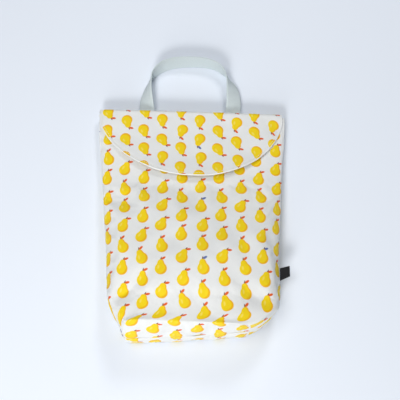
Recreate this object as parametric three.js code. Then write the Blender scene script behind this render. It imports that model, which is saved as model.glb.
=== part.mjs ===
// A cloth wet bag for nappies, lying on its back, lightly filled, with its flap closed over the mouth.
// Millimetres, +X to the bag's right as seen from the front, +Y from the foot towards the handle, +Z up.
// The origin is on the flat of the back that the bag rests on, midway between foot and top fold.
// The cloth panels are thin shells: each outer surface is a grid of points, thickened inwards.
import * as THREE from "three";

// Sewn sizes of the bag
const FLAT_WIDTH = 242;
const FOOT_WIDTH = 146;
const BODY_LENGTH = 280; // foot seam to top fold
const WALL = 1.6;
const SEAM_GAP = 0.3;
// How the filled bag lies
const LYING_HEIGHT = 61;
const FOOT_BULGE = 1.5;
const FOOT_TOE = 4; // how far the foot's lower edge stands out below its seam
const BACK_SPREAD = 0.1; // how much further the back would sag if nothing carried it
const TOP_TURN = 8; // left end of the top fold above its right end
const CREST_TURN = 6; // left end of the foot's front fold above its right end
const FOOT_TURN = 8; // right end of the foot's lower edge above its left end
// Flap
const FLAP_WIDTH = 235;
const FLAP_DROP = 87;
const FLAP_SIDE = 4;
const FLAP_OFFSET = -2.5; // the flap's middle, to the left of the bag's
const FLAP_SHIFT = 4; // the flap's lowest point, to the right of its middle
const FLAP_SLENDER = 1.17; // 1 for an oval edge, more for one that rises sooner to its ends
const FLAP_GAP = 1.2;
const FLAP_LIFT = 5.5;
const TOP_FOLD = 4.5;
const MOUTH_SETBACK = 9; // front panel's hem below the top fold
// Webbing handle
const STRAP_WIDTH = 20;
const STRAP_THICK = 1.4;
const HANDLE_SPREAD = 112;
const HANDLE_RISE = 79;
const HANDLE_SHIFT = -3.5;
const HANDLE_TUCK = 30;
// Folded tab in the right side seam
const TAB_LENGTH = 12.6;
const TAB_REACH = 12;
const TAB_LEAF = 0.7;
const TAB_OPEN = 0.9;
const TAB_AT = 0.2575;
const TAB_SKEW = 0.25;

// Mesh steps
const ACROSS = 24;
const LENGTHWISE = 18;
const FLAP_ROWS = 9;
const FOLD_ROWS = 5;
const SECTION_STEPS = 240;
const STRAP_SPLIT = 2;

const FLAT_HALF = FLAT_WIDTH / 2;
const FOOT_HALF = FOOT_WIDTH / 2;
const MOUTH_AT = 1 - MOUTH_SETBACK / BODY_LENGTH;

// One row for each cross-section, keyed by its share of the body's length from the foot.
// half runs from the boxed foot's half width, 0, to the flat cloth's, 1. shift is how far the
// section sits to the right, as a share of the flat width. seam, crown and back are heights as
// shares of the lying height. square is the section's exponent, 2 for an oval and more for a box.
// lean is how far the crown sits above the side seam along the bag, as a share of the lying height.
const BODY = [
  { at: 0, half: 0, shift: -0.023, seam: 0.46, crown: 1, back: 0, square: 7, lean: 0.222 },
  { at: 0.025, half: 0.19, shift: 0, seam: 0.48, crown: 0.993, back: 0, square: 5, lean: 0.19 },
  { at: 0.06, half: 0.35, shift: 0.014, seam: 0.49, crown: 0.987, back: 0, square: 4, lean: 0.135 },
  { at: 0.095, half: 0.5, shift: 0.018, seam: 0.49, crown: 0.982, back: 0, square: 3.4, lean: 0.08 },
  { at: 0.14, half: 0.58, shift: 0.01, seam: 0.485, crown: 0.978, back: 0, square: 3, lean: 0.035 },
  { at: 0.212, half: 0.61, shift: 0.006, seam: 0.47, crown: 0.96, back: 0, square: 2.7, lean: 0.005 },
  { at: 0.293, half: 0.64, shift: 0.003, seam: 0.45, crown: 0.915, back: 0, square: 2.5, lean: 0 },
  { at: 0.373, half: 0.675, shift: 0.001, seam: 0.42, crown: 0.83, back: 0, square: 2.4, lean: 0 },
  { at: 0.474, half: 0.73, shift: 0, seam: 0.37, crown: 0.7, back: 0, square: 2.4, lean: 0 },
  { at: 0.586, half: 0.79, shift: -0.001, seam: 0.32, crown: 0.56, back: 0, square: 2.3, lean: 0 },
  { at: 0.707, half: 0.857, shift: -0.003, seam: 0.27, crown: 0.44, back: 0, square: 2.3, lean: 0 },
  { at: 0.838, half: 0.93, shift: -0.004, seam: 0.23, crown: 0.36, back: 0.04, square: 2.3, lean: 0 },
  { at: 0.95, half: 0.99, shift: -0.005, seam: 0.215, crown: 0.315, back: 0.125, square: 2.3, lean: 0 },
  { at: 1, half: 0.97, shift: -0.001, seam: 0.21, crown: 0.3, back: 0.17, square: 2.3, lean: 0 },
];

// Soft dents of the front: place as shares of the flat half width and of the length, size as
// shares of the flat width, turn in degrees from the bag's width, depth as a share of the height.
const DENTS = [
  { x: -0.62, at: 0.17, long: 0.2, wide: 0.06, turn: 42, depth: 0.055 },
  { x: -0.28, at: 0.37, long: 0.18, wide: 0.07, turn: 34, depth: 0.035 },
  { x: 0.62, at: 0.15, long: 0.16, wide: 0.06, turn: -40, depth: 0.05 },
  { x: -0.66, at: 0.148, long: 0.13, wide: 0.09, turn: 12, depth: 0.05 },
  { x: 0.5, at: 0.14, long: 0.12, wide: 0.09, turn: 0, depth: 0.03 },
  { x: 0.1, at: 0.62, long: 0.4, wide: 0.07, turn: 0, depth: 0.03 },
];

// The webbing's centre line above the top fold, from its left sewn end to its right one: side as a
// share of half the spread, rise as a share of the handle's rise, lift above the height at which it
// leaves the bag as a share of the strap's width, roll in degrees from lying flat.
const STRAP = [
  { side: -1, rise: 0, lift: 0, roll: 0 },
  { side: -1, rise: 0.05, lift: 0, roll: 0 },
  { side: -1.005, rise: 0.14, lift: 0.01, roll: 14 },
  { side: -1.02, rise: 0.3, lift: 0.03, roll: 30 },
  { side: -1, rise: 0.49, lift: 0.05, roll: 56 },
  { side: -0.95, rise: 0.65, lift: 0.06, roll: 76 },
  { side: -0.89, rise: 0.75, lift: 0.07, roll: 91 },
  { side: -0.79, rise: 0.84, lift: 0.07, roll: 101 },
  { side: -0.61, rise: 0.93, lift: 0.07, roll: 108 },
  { side: -0.35, rise: 0.985, lift: 0.06, roll: 109 },
  { side: 0, rise: 1, lift: 0.06, roll: 106 },
  { side: 0.33, rise: 0.985, lift: 0.06, roll: 103 },
  { side: 0.56, rise: 0.94, lift: 0.06, roll: 99 },
  { side: 0.71, rise: 0.875, lift: 0.07, roll: 95 },
  { side: 0.82, rise: 0.79, lift: 0.07, roll: 88 },
  { side: 0.9, rise: 0.69, lift: 0.06, roll: 72 },
  { side: 0.965, rise: 0.59, lift: 0.05, roll: 51 },
  { side: 1, rise: 0.47, lift: 0.04, roll: 35 },
  { side: 1.02, rise: 0.3, lift: 0.02, roll: 20 },
  { side: 1.01, rise: 0.14, lift: 0.01, roll: 10 },
  { side: 1, rise: 0.05, lift: 0, roll: 0 },
  { side: 1, rise: 0, lift: 0, roll: 0 },
];

// A column of a table at any share of the length, on a smooth curve through its rows.
function column(table, key, at) {
  const last = table.length - 1;
  let i = 0;
  while (i < last - 1 && at > table[i + 1].at) i += 1;
  const from = table[i];
  const to = table[i + 1];
  const span = to.at - from.at;
  const t = THREE.MathUtils.clamp((at - from.at) / span, 0, 1);
  const slope = (k) => {
    const low = table[Math.max(k - 1, 0)];
    const high = table[Math.min(k + 1, last)];
    return ((high[key] - low[key]) / (high.at - low.at)) * span;
  };
  const a = t * t * (3 - 2 * t);
  return (
    from[key] * (1 - a) +
    to[key] * a +
    slope(i) * t * (1 - t) * (1 - t) -
    slope(i + 1) * t * t * (1 - t)
  );
}

// The section's sizes at a share of the length, in millimetres.
function sizesAt(at) {
  const share = (key) => column(BODY, key, at);
  return {
    half: FOOT_HALF + (FLAT_HALF - FOOT_HALF) * share("half"),
    shift: FLAT_WIDTH * share("shift"),
    seam: LYING_HEIGHT * share("seam"),
    crown: LYING_HEIGHT * share("crown"),
    back: Math.max(0, LYING_HEIGHT * share("back")),
    square: share("square"),
    lean: LYING_HEIGHT * share("lean"),
  };
}

// How near a share of the length is to the foot: 1 at the foot and 0 from a quarter of the way up.
function nearFoot(at) {
  return 1 - THREE.MathUtils.smoothstep(at, 0, 0.25);
}

// How far the cloth is pulled along the bag at x, because the top and the foot lie askew.
function turnAt(x, at, rise) {
  const top = THREE.MathUtils.smoothstep(at, 0.5, 1);
  const foot = nearFoot(at);
  const footTurn = THREE.MathUtils.lerp(FOOT_TURN, -CREST_TURN, rise);
  return x * ((foot * footTurn) / FOOT_WIDTH - (top * TOP_TURN) / FLAT_WIDTH);
}

// Depth of the front's dents at a place on it.
function dentAt(x, at) {
  let depth = 0;
  for (const dent of DENTS) {
    const turn = THREE.MathUtils.degToRad(dent.turn);
    const dx = x - dent.x * FLAT_HALF;
    const dy = (at - dent.at) * BODY_LENGTH;
    const u = (dx * Math.cos(turn) + dy * Math.sin(turn)) / (dent.long * FLAT_WIDTH);
    const v = (dy * Math.cos(turn) - dx * Math.sin(turn)) / (dent.wide * FLAT_WIDTH);
    depth += dent.depth * LYING_HEIGHT * Math.exp(-2 * (u * u + v * v));
  }
  return depth;
}

// A point of the body's cloth: angle from 0 at the right seam to pi at the left one.
function bodyPoint(at, angle, isFront) {
  const size = sizesAt(at);
  const power = 2 / size.square;
  const rise = Math.sin(angle) ** power;
  const side = Math.sign(Math.cos(angle)) * Math.abs(Math.cos(angle)) ** power;
  const x = size.shift + size.half * side;
  const y = at * BODY_LENGTH + turnAt(x, at, isFront ? rise : 0);
  if (isFront) {
    const z = size.seam + (size.crown - size.seam) * rise - dentAt(x, at) * rise;
    return new THREE.Vector3(x, y + size.lean * rise, z);
  }
  const sag = (size.seam - size.back) * (1 + BACK_SPREAD) * rise;
  const toe = FOOT_TOE * nearFoot(at) * rise;
  return new THREE.Vector3(x, y - toe, Math.max(size.back, size.seam - sag));
}

// Half a cross-section, from the left seam to the right one, in equal steps along the cloth.
function halfSection(at, isFront) {
  const fine = [];
  for (let i = 0; i <= SECTION_STEPS; i += 1) {
    fine.push(bodyPoint(at, Math.PI * (1 - i / SECTION_STEPS), isFront));
  }
  const run = [0];
  for (let i = 1; i < fine.length; i += 1) {
    run.push(run[i - 1] + fine[i].distanceTo(fine[i - 1]));
  }
  const points = [];
  for (let c = 0; c <= ACROSS; c += 1) {
    const want = (run[SECTION_STEPS] * c) / ACROSS;
    let i = 1;
    while (i < SECTION_STEPS && run[i] < want) i += 1;
    const t = (want - run[i - 1]) / (run[i] - run[i - 1]);
    points.push(fine[i - 1].clone().lerp(fine[i], t));
  }
  return points;
}

// Height of the front's outer face over a place, for what lies on it.
function frontHeight(x, y) {
  let at = y / BODY_LENGTH;
  at = (y - turnAt(x, at, 1)) / BODY_LENGTH;
  const size = sizesAt(at);
  const share = Math.min(1, Math.abs(x - size.shift) / size.half);
  const rise = (1 - share ** size.square) ** (1 / size.square);
  return size.seam + (size.crown - size.seam) * rise - dentAt(x, at) * rise;
}

// Height of the back's underside over a place, for what is sewn to it.
function backHeight(x, y) {
  let at = y / BODY_LENGTH;
  at = Math.min(1, (y - turnAt(x, at, 0)) / BODY_LENGTH);
  const size = sizesAt(at);
  const share = Math.min(1, Math.abs(x - size.shift) / size.half);
  const rise = (1 - share ** size.square) ** (1 / size.square);
  const sag = (size.seam - size.back) * (1 + BACK_SPREAD) * rise;
  return Math.max(size.back, size.seam - sag);
}

// An open surface being collected: points, and triangles that index them.
class Cloth {
  constructor() {
    this.points = [];
    this.faces = [];
    this.seams = new Map();
  }

  // Adds a point. One on a seam names the axis that the seam's two sides face each other along.
  add(point, seamAxis = null) {
    this.points.push(point);
    if (seamAxis) this.seams.set(this.points.length - 1, seamAxis);
    return this.points.length - 1;
  }

  quad(a, b, c, d) {
    this.faces.push([a, b, c], [a, c, d]);
  }

  // Joins rows of point numbers into a surface whose outer side shows them counter-clockwise.
  grid(rows) {
    for (let r = 1; r < rows.length; r += 1) {
      for (let c = 1; c < rows[r].length; c += 1) {
        this.quad(rows[r - 1][c - 1], rows[r - 1][c], rows[r][c], rows[r][c - 1]);
      }
    }
  }

  // The closed solid between this surface and its copy, one wall further in. On a seam the wall
  // is cut square to the seam's gap.
  thicken(wall) {
    const normals = this.points.map(() => new THREE.Vector3());
    const edges = new Map();
    for (const face of this.faces) {
      const [a, b, c] = face.map((i) => this.points[i]);
      const normal = b.clone().sub(a).cross(c.clone().sub(a));
      face.forEach((i) => normals[i].add(normal));
      face.forEach((i, k) => edges.set(`${i},${face[(k + 1) % 3]}`, [i, face[(k + 1) % 3]]));
    }
    const inner = this.points.map((point, i) => {
      if (this.seams.has(i)) normals[i][this.seams.get(i)] = 0;
      return point.clone().addScaledVector(normals[i].normalize(), -wall);
    });
    const count = this.points.length;
    const index = [];
    for (const [a, b, c] of this.faces) {
      index.push(a, b, c, count + c, count + b, count + a);
    }
    for (const [a, b] of edges.values()) {
      if (!edges.has(`${b},${a}`)) index.push(b, a, count + a, b, count + a, count + b);
    }
    const geometry = new THREE.BufferGeometry();
    const values = [...this.points, ...inner].flatMap((p) => [p.x, p.y, p.z]);
    geometry.setAttribute("position", new THREE.Float32BufferAttribute(values, 3));
    geometry.setIndex(index);
    return geometry;
  }
}

// A body panel: its half of each cross-section, and its half of the boxed foot below.
function bodyPanel(isFront, topAt) {
  const cloth = new Cloth();
  const apart = (isFront ? 1 : -1) * (SEAM_GAP / 2);
  const rows = [];
  const sections = [];
  for (let r = 0; r <= LENGTHWISE; r += 1) {
    const at = topAt * (r / LENGTHWISE) ** 1.35;
    const section = halfSection(at, isFront);
    section[0].z += apart;
    section[ACROSS].z += apart;
    sections.push(section);
    rows.push(section.map((point, c) => cloth.add(point, c % ACROSS === 0 ? "z" : null)));
  }
  // The foot hangs from the lowest section: its sides are that section's ends.
  const edge = sections[0];
  const side = edge[Math.round(ACROSS / 2)].z - edge[0].z;
  const sideSteps = Math.max(
    2,
    Math.round((ACROSS * Math.abs(side)) / (2 * Math.abs(side) + 2 * edge[ACROSS].x)),
  );
  const footRows = [rows[0].slice(sideSteps, ACROSS - sideSteps + 1)];
  const steps = ACROSS - 2 * sideSteps;
  for (let j = 1; j <= sideSteps; j += 1) {
    const w = j / sideSteps;
    const left = edge[sideSteps - j];
    const right = edge[ACROSS - sideSteps + j];
    const row = [rows[0][sideSteps - j]];
    for (let i = 1; i < steps; i += 1) {
      const u = i / steps;
      const top = edge[sideSteps + i];
      const bottom = edge[0].clone().lerp(edge[ACROSS], u);
      const ends = left.clone().lerp(right, u);
      const cornersTop = edge[sideSteps].clone().lerp(edge[ACROSS - sideSteps], u);
      const point = top.clone().lerp(bottom, w).add(ends);
      point.sub(cornersTop.lerp(bottom, w));
      const bulge = Math.sin(Math.PI * u) ** 0.6 * Math.sin((Math.PI / 2) * w);
      point.y -= FOOT_BULGE * bulge;
      row.push(cloth.add(point, j === sideSteps ? "z" : null));
    }
    row.push(rows[0][ACROSS - sideSteps + j]);
    footRows.push(row);
  }
  if (isFront) {
    cloth.grid(rows);
    cloth.grid(footRows.reverse());
  } else {
    cloth.grid(rows.reverse());
    cloth.grid(footRows);
  }
  return cloth.thicken(WALL);
}

// The flap: on from the back panel's top edge, round the fold and down over the front.
function flap() {
  const cloth = new Cloth();
  const rows = [];
  for (let r = 0; r <= FOLD_ROWS + FLAP_ROWS; r += 1) rows.push([]);
  for (let c = 0; c <= ACROSS; c += 1) {
    const spread = (Math.PI / 2) * ((2 * c) / ACROSS - 1);
    const x = FLAP_OFFSET + (FLAP_WIDTH / 2) * Math.sin(spread);
    const top = BODY_LENGTH + turnAt(x, 1, 1);
    const under = backHeight(x, top);
    const over = frontHeight(x, top) + FLAP_GAP + WALL;
    for (let r = 0; r <= FOLD_ROWS; r += 1) {
      const a = Math.PI * (r / FOLD_ROWS);
      const y = top + Math.max(SEAM_GAP, TOP_FOLD * Math.sin(a));
      const z = (under + over) / 2 - (Math.cos(a) * (over - under)) / 2;
      rows[r].push(cloth.add(new THREE.Vector3(x, y, z), r === 0 ? "y" : null));
    }
    const lowered = Math.cos(spread - (2 * FLAP_SHIFT * Math.cos(spread)) / FLAP_WIDTH);
    const drop = FLAP_SIDE + (FLAP_DROP - FLAP_SIDE) * lowered ** FLAP_SLENDER;
    for (let r = 1; r <= FLAP_ROWS; r += 1) {
      const w = r / FLAP_ROWS;
      const y = top - drop * w;
      const lift = FLAP_LIFT * ((drop * w) / FLAP_DROP) ** 2;
      const z = frontHeight(x, y) + FLAP_GAP + WALL + lift;
      rows[FOLD_ROWS + r].push(cloth.add(new THREE.Vector3(x, y, z)));
    }
  }
  cloth.grid(rows.reverse());
  return cloth.thicken(WALL);
}

// The strap's centre line and roll at each of its stations, from the left sewn end to the right.
function strapStations() {
  const lowSide = HANDLE_SHIFT - HANDLE_SPREAD / 2;
  const leaving = backHeight(lowSide, BODY_LENGTH) - SEAM_GAP - STRAP_THICK / 2;
  const above = STRAP.map((row) => {
    const x = HANDLE_SHIFT + (row.side * HANDLE_SPREAD) / 2;
    const y = BODY_LENGTH + HANDLE_RISE * row.rise;
    return { point: new THREE.Vector3(x, y, leaving + row.lift * STRAP_WIDTH), roll: row.roll };
  });
  const sewn = (way) => {
    const x = HANDLE_SHIFT + (way * HANDLE_SPREAD) / 2;
    return [1, 2, 3].map((step) => {
      const y = BODY_LENGTH - (HANDLE_TUCK * step) / 3;
      const z = backHeight(x, y) - SEAM_GAP - STRAP_THICK / 2;
      return { point: new THREE.Vector3(x, y, z), roll: 0 };
    });
  };
  return [...sewn(-1).reverse(), ...above, ...sewn(1)];
}

// The webbing handle: a flat band that follows the stations and rolls with them.
function handle() {
  const stations = strapStations();
  const line = new THREE.CatmullRomCurve3(stations.map((s) => s.point), false, "centripetal");
  const spans = stations.length - 1;
  const steps = spans * STRAP_SPLIT;
  const rollAt = (t) => {
    const i = Math.min(spans - 1, Math.floor(t * spans));
    return THREE.MathUtils.lerp(stations[i].roll, stations[i + 1].roll, t * spans - i);
  };
  const values = [];
  const index = [];
  for (let i = 0; i <= steps; i += 1) {
    const t = i / steps;
    const centre = line.getPoint(t);
    const forward = line.getTangent(t);
    const outward = new THREE.Vector3(-forward.y, forward.x, 0).normalize();
    const roll = THREE.MathUtils.degToRad(rollAt(t));
    const across = outward.multiplyScalar(Math.cos(roll));
    across.z -= Math.sin(roll);
    across.addScaledVector(forward, -across.dot(forward)).normalize();
    const face = forward.clone().cross(across);
    for (const [u, v] of [[1, 1], [-1, 1], [-1, -1], [1, -1]]) {
      const corner = centre.clone().addScaledVector(across, (u * STRAP_WIDTH) / 2);
      corner.addScaledVector(face, (v * STRAP_THICK) / 2);
      values.push(corner.x, corner.y, corner.z);
    }
  }
  for (let i = 0; i < steps; i += 1) {
    for (let k = 0; k < 4; k += 1) {
      const a = 4 * i + k;
      const b = 4 * i + ((k + 1) % 4);
      index.push(a, b, b + 4, a, b + 4, a + 4);
    }
  }
  const end = 4 * steps;
  index.push(2, 1, 0, 3, 2, 0, end, end + 1, end + 2, end, end + 2, end + 3);
  const geometry = new THREE.BufferGeometry();
  geometry.setAttribute("position", new THREE.Float32BufferAttribute(values, 3));
  geometry.setIndex(index);
  return geometry;
}

// The woven tab: a short tape folded in two, its fold away from the bag.
function sideTab() {
  const outer = TAB_LEAF + TAB_OPEN / 2;
  const inner = TAB_OPEN / 2;
  const shape = new THREE.Shape();
  shape.moveTo(0, -outer);
  shape.lineTo(TAB_REACH - outer, -outer);
  shape.absarc(TAB_REACH - outer, 0, outer, -Math.PI / 2, Math.PI / 2);
  shape.lineTo(0, outer);
  shape.lineTo(0, inner);
  shape.lineTo(TAB_REACH - outer, inner);
  shape.absarc(TAB_REACH - outer, 0, inner, Math.PI / 2, -Math.PI / 2, true);
  shape.lineTo(0, -inner);
  shape.closePath();
  const options = { depth: TAB_LENGTH, bevelEnabled: false, curveSegments: 8 };
  const geometry = new THREE.ExtrudeGeometry(shape, options);
  geometry.rotateX(-Math.PI / 2);
  const skew = new THREE.Matrix4().set(1, 0, 0, 0, TAB_SKEW, 1, 0, 0, 0, 0, 1, 0, 0, 0, 0, 1);
  return geometry.applyMatrix4(skew);
}

function cloth(colour, roughness) {
  return new THREE.MeshStandardMaterial({
    color: colour,
    roughness: roughness,
    metalness: 0,
    side: THREE.DoubleSide,
  });
}

const bag = new THREE.Group();
bag.name = "wet_bag";
bag.position.y = -BODY_LENGTH / 2;

function addPiece(name, geometry, material) {
  const mesh = new THREE.Mesh(geometry, material);
  mesh.name = name;
  bag.add(mesh);
  return mesh;
}

addPiece("front_panel", bodyPanel(true, MOUTH_AT), cloth(0xf2ecd0, 0.75));
addPiece("back_panel", bodyPanel(false, 1), cloth(0xf2ecd0, 0.75));
addPiece("flap", flap(), cloth(0xf2ecd0, 0.75));
addPiece("handle", handle(), cloth(0xc8d3d4, 0.8));

const tab = addPiece("side_tab", sideTab(), cloth(0x14161a, 0.7));
const tabTop = TAB_AT + TAB_LENGTH / 2 / BODY_LENGTH;
const tabSide = sizesAt(tabTop).shift + sizesAt(tabTop).half + SEAM_GAP;
tab.position.set(tabSide, TAB_AT * BODY_LENGTH - TAB_LENGTH / 2, sizesAt(TAB_AT).seam);

export default bag;
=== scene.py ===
# A cloth wet bag for nappies, lying on its back, lightly filled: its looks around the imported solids.
# Shapes are worked out in millimetres with y from the foot, and placed in metres in the frame.
import math

import bpy
import numpy as np
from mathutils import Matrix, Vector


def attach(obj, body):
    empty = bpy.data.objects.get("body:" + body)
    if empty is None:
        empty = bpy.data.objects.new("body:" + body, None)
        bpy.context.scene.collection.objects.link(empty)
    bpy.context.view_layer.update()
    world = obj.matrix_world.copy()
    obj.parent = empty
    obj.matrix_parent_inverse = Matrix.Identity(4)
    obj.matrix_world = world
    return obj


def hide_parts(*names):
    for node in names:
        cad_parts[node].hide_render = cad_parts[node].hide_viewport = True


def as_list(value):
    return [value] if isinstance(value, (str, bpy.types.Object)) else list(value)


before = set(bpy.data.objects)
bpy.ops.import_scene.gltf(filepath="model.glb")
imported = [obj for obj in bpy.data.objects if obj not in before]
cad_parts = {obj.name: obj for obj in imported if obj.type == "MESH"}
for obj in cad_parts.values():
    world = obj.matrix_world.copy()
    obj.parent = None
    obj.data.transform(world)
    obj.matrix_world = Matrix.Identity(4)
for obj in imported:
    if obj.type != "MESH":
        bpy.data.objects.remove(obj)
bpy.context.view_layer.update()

scene = bpy.context.scene

# Sewn sizes of the bag, in millimetres
FLAT_WIDTH = 242
FOOT_WIDTH = 146
BODY_LENGTH = 280
WALL = 1.4
SOLID_WALL = 1.6
SEAM_GAP = 0.3
SEAM_ROLL = 0.8
MOUTH_SETBACK = 9
TOP_FOLD = 4.5

# How the filled body lies
LYING_HEIGHT = 61
FOOT_BULGE = 1.5
FOOT_TOE = 4
BACK_SPREAD = 0.1
TOP_TURN = 8
CREST_TURN = 6
FOOT_TURN = 8

# The fold along the top of the foot: its sharp lip, and the crest that stands up beside it
CREASE_LIP = 0.9
CREASE_LIP_LEAST = 0.2
CREASE_WIDE = 3
CREASE_CLIMB = 1.1
CREST_LIFT = 2.6
CREST_REACH = 12
CREST_HOLD = 45
CREST_PLACES = (-60, -25, 15, 45)
CREST_SHARES = (0.5, 0, 0.1, 1)

# The short cloth simulation that swells each panel between its seams
SIM_FRAMES = 20
SIM_PRESSURE = 1.5
SIM_EASE = 0.012
SIM_BEND = 0.3
SIM_CAP = 3.0
HOLD_UNDER_FLAP = 0.7
HOLD_RESTING = 0.9

# Folds, puckers and the seams' valleys: heights, then lengths or widths over the cloth
BROAD_FOLD = 1.1
BROAD_FOLD_LONG = 75
FINE_FOLD = 0.5
FINE_FOLD_LONG = 34
FOOT_FOLD_LONG = 30
PUCKER = 0.88
PUCKER_LONG = 15
PUCKER_REACH = 9
SEAM_VALLEY = 0.9
SEAM_VALLEY_WIDE = 5
FOOT_VALLEY_WIDE = 4.5
BOX_VALLEY = 0.8
BOX_VALLEY_WIDE = 4

# The flap and its turned hem
FLAP_WIDTH = 235
FLAP_DROP = 87
FLAP_SIDE = 4
FLAP_OFFSET = -2.5
FLAP_SHIFT = 4
FLAP_SLENDER = 1.17
FLAP_GAP = 1.3
FLAP_LIFT = 5.5
FLAP_WALL = 1.25
HEM_NEAR = 7
HEM_FAR = 10
HEM_THICKER = 0.45
HEM_WAVER = 0.25
HEM_STITCH = 2.4
STITCH_PITCH = 3.1
STITCH_LONG = 2.4
STITCH_THICK = 0.5
STITCH_LIFT = 0.08

# The webbing loop
STRAP_WIDTH = 20
STRAP_THICK = 1.4
HANDLE_SPREAD = 112
HANDLE_RISE = 79
HANDLE_SHIFT = -3.5
HANDLE_TUCK = 30

# The folded side tab
TAB_LENGTH = 12.6
TAB_REACH = 12
TAB_LEAF = 0.7
TAB_OPEN = 0.9
TAB_AT = 0.2575
TAB_SKEW = 0.25
TAB_SLIP = 2.2

# Floor, surroundings and camera, in metres and degrees
FLOOR_HALF = 8
FLOOR_DROP = 0.0003
WORLD_LIGHT = 0.16
CAMERA_PLACE = (0.0095, -0.17925, 0.772)
CAMERA_TILT = 15.2
CAMERA_LENS = 56.5
CAMERA_SENSOR = 36

# Lamps: name, place, aim, size, power, colour
LAMPS = (
    ("window", (-0.3, -1.32, 1.1), (0, 0, 0), 0.5, 15.8, (1, 0.985, 0.96)),
    ("low_window", (-0.4, -1.56, 0.62), (0, 0, 0), 0.6, 4.5, (1, 0.985, 0.96)),
    ("overhead", (-0.45, 0, 1.7), (0, 0, 0), 1.0, 11.2, (1, 0.99, 0.98)),
    ("far_side", (0.4, 1.1, 1.15), (0, 0, 0), 0.4, 6.3, (1, 1, 1)),
)

# Cross-sections of the body from the foot to the top fold.
COLUMNS = ("at", "half", "shift", "seam", "crown", "back", "square", "lean")
BODY = np.array([
    [0, 0, -0.023, 0.46, 1, 0, 7, 0.222],
    [0.025, 0.19, 0, 0.48, 0.993, 0, 5, 0.19],
    [0.06, 0.35, 0.014, 0.49, 0.987, 0, 4, 0.135],
    [0.095, 0.5, 0.018, 0.49, 0.982, 0, 3.4, 0.08],
    [0.14, 0.58, 0.01, 0.485, 0.978, 0, 3, 0.035],
    [0.212, 0.61, 0.006, 0.47, 0.96, 0, 2.7, 0.005],
    [0.293, 0.64, 0.003, 0.45, 0.915, 0, 2.5, 0],
    [0.373, 0.675, 0.001, 0.42, 0.83, 0, 2.4, 0],
    [0.474, 0.73, 0, 0.37, 0.7, 0, 2.4, 0],
    [0.586, 0.79, -0.001, 0.32, 0.56, 0, 2.3, 0],
    [0.707, 0.857, -0.003, 0.27, 0.44, 0, 2.3, 0],
    [0.838, 0.93, -0.004, 0.23, 0.36, 0.04, 2.3, 0],
    [0.95, 0.99, -0.005, 0.215, 0.315, 0.125, 2.3, 0],
    [1, 0.97, -0.001, 0.21, 0.3, 0.17, 2.3, 0],
])

# Dents of the front: x, at, long, wide, turn, depth.
DENTS = (
    (-0.62, 0.17, 0.2, 0.06, 42, 0.055),
    (-0.28, 0.37, 0.18, 0.07, 34, 0.035),
    (0.62, 0.15, 0.16, 0.06, -40, 0.05),
    (-0.66, 0.148, 0.13, 0.09, 12, 0.05),
    (0.5, 0.14, 0.12, 0.09, 0, 0.03),
    (0.1, 0.62, 0.4, 0.07, 0, 0.03),
)

# The webbing above the fold: side, rise, lift, roll.
STRAP = (
    (-1, 0, 0, 0), (-1, 0.05, 0, 0), (-1.005, 0.14, 0.01, 14), (-1.02, 0.3, 0.03, 30),
    (-1, 0.49, 0.05, 56), (-0.95, 0.65, 0.06, 76), (-0.89, 0.75, 0.07, 91),
    (-0.79, 0.84, 0.07, 101), (-0.61, 0.93, 0.07, 108), (-0.35, 0.985, 0.06, 109),
    (0, 1, 0.06, 106), (0.33, 0.985, 0.06, 103), (0.56, 0.94, 0.06, 99),
    (0.71, 0.875, 0.07, 95), (0.82, 0.79, 0.07, 88), (0.9, 0.69, 0.06, 72),
    (0.965, 0.59, 0.05, 51), (1, 0.47, 0.04, 35), (1.02, 0.3, 0.02, 20),
    (1.01, 0.14, 0.01, 10), (1, 0.05, 0, 0), (1, 0, 0, 0),
)

# Mesh steps
ACROSS = 120
LENGTHWISE = 150
ROW_SPACING = 1.2
FLAP_ROWS = 60
FOLD_ROWS = 12
SECTION_STEPS = 400
RIM_STEPS = 3
HEM_STEPS = 500
AREA_STEPS = 721
STRAP_STEPS = 260


def smoothstep(x, low, high):
    t = np.clip((x - low) / (high - low), 0, 1)
    return t * t * (3 - 2 * t)


def column(name, at):
    x, f = BODY[:, 0], BODY[:, COLUMNS.index(name)]
    last = len(x) - 1
    k = np.arange(last + 1)
    low, high = np.maximum(k - 1, 0), np.minimum(k + 1, last)
    slope = (f[high] - f[low]) / (x[high] - x[low])
    i = np.clip(np.searchsorted(x, at, side="left") - 1, 0, last - 1)
    span = x[i + 1] - x[i]
    t = np.clip((at - x[i]) / span, 0, 1)
    a = t * t * (3 - 2 * t)
    bend = slope[i] * t * (1 - t) ** 2 - slope[i + 1] * t * t * (1 - t)
    return f[i] * (1 - a) + f[i + 1] * a + span * bend


def sizes_at(at):
    at = np.asarray(at, float)
    half = FOOT_WIDTH / 2 + (FLAT_WIDTH - FOOT_WIDTH) / 2 * column("half", at)
    tall = {k: LYING_HEIGHT * column(k, at) for k in ("seam", "crown", "back", "lean")}
    tall["back"] = np.maximum(0, tall["back"])
    return dict(tall, half=half, shift=FLAT_WIDTH * column("shift", at), square=column("square", at))


def near_foot(at):
    return 1 - smoothstep(at, 0, 0.25)


def turn_at(x, at, rise):
    foot = near_foot(at) * (FOOT_TURN * (1 - rise) - CREST_TURN * rise)
    return x * (foot / FOOT_WIDTH - smoothstep(at, 0.5, 1) * TOP_TURN / FLAT_WIDTH)


def dent_at(x, at):
    depth = 0
    for place, along, long, wide, turn, deep in DENTS:
        c, s = math.cos(math.radians(turn)), math.sin(math.radians(turn))
        dx, dy = x - place * FLAT_WIDTH / 2, (at - along) * BODY_LENGTH
        u, v = (dx * c + dy * s) / (long * FLAT_WIDTH), (dy * c - dx * s) / (wide * FLAT_WIDTH)
        depth = depth + deep * LYING_HEIGHT * np.exp(-2 * (u * u + v * v))
    return depth


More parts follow.
